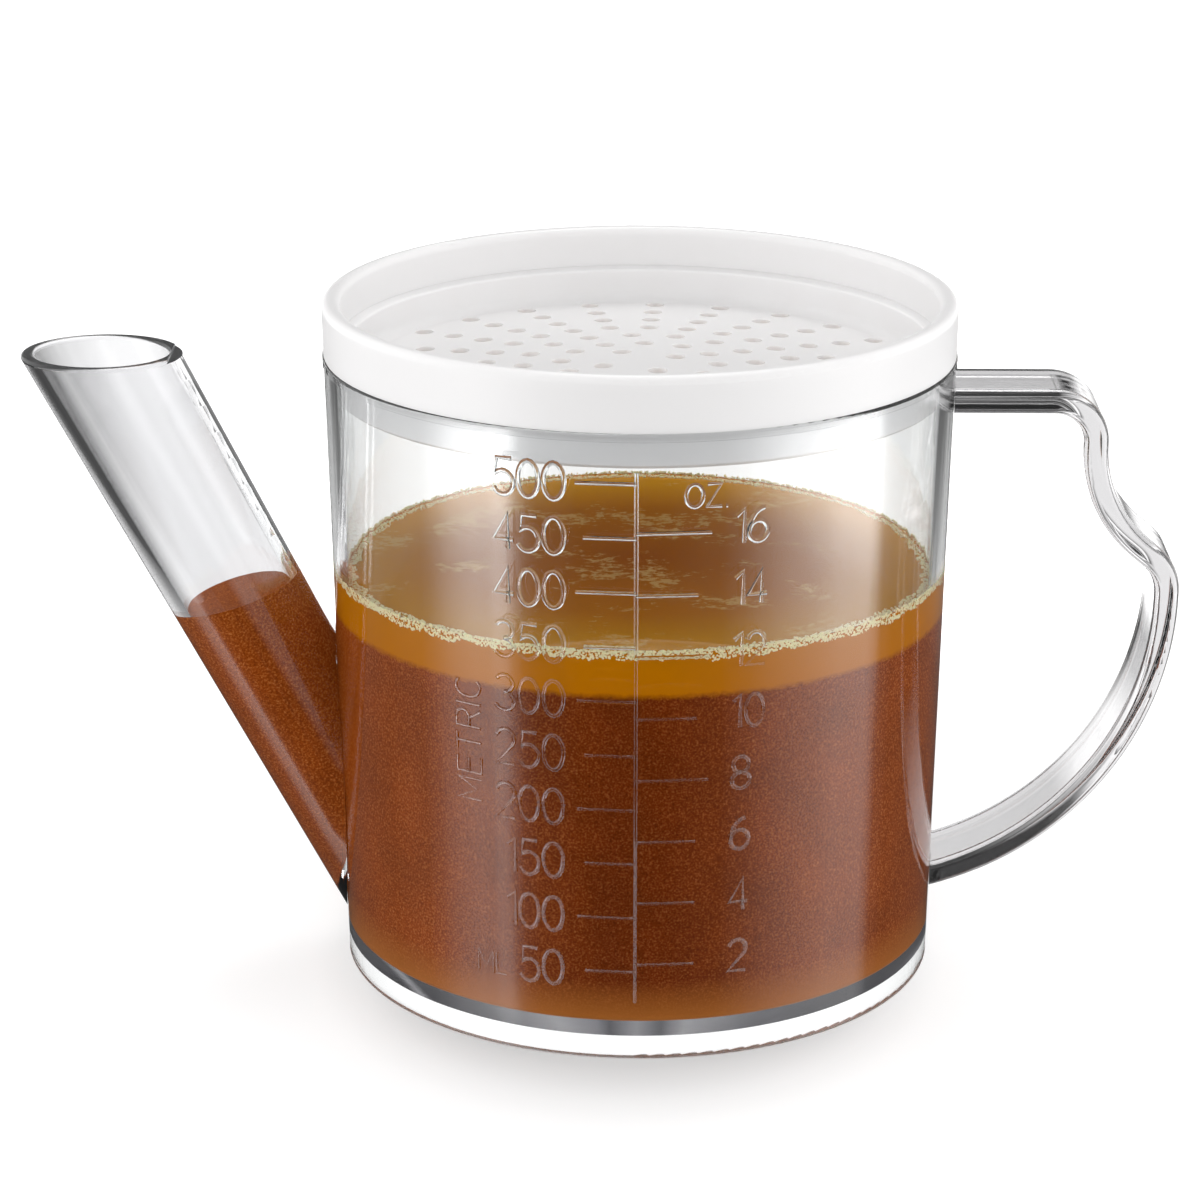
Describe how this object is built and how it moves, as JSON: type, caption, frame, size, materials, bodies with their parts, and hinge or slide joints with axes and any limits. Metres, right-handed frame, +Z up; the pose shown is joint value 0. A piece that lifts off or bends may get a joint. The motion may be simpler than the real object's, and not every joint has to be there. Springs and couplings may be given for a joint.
{
  "type": "gravy fat separator jug",
  "caption": "Clear jug with a straight spout that leaves the wall low down, an ear-shaped handle opposite, and a lift-off strainer lid.",
  "frame": {"origin": "centre of the foot ring, on the surface that the jug stands on", "axes": "+Z up along the jug's axis, +X from the jug's axis towards the handle (the spout leans towards -X), +Y across, away from the measuring scale"},
  "size_m": [0.1731, 0.0944, 0.103],
  "materials": {
    "clear_plastic": "polished",
    "white_plastic": "satin"
  },
  "bodies": {
    "jug": {"jug_body": "clear_plastic", "spout": "clear_plastic", "handle": "clear_plastic"},
    "lid": {"strainer_lid": "white_plastic"}
  },
  "joints": [
    {"name": "lid_lift", "type": "slide", "parent": "jug", "child": "lid", "axis": [0, 0, 1], "range_m": [0, 0.06]}
  ]
}
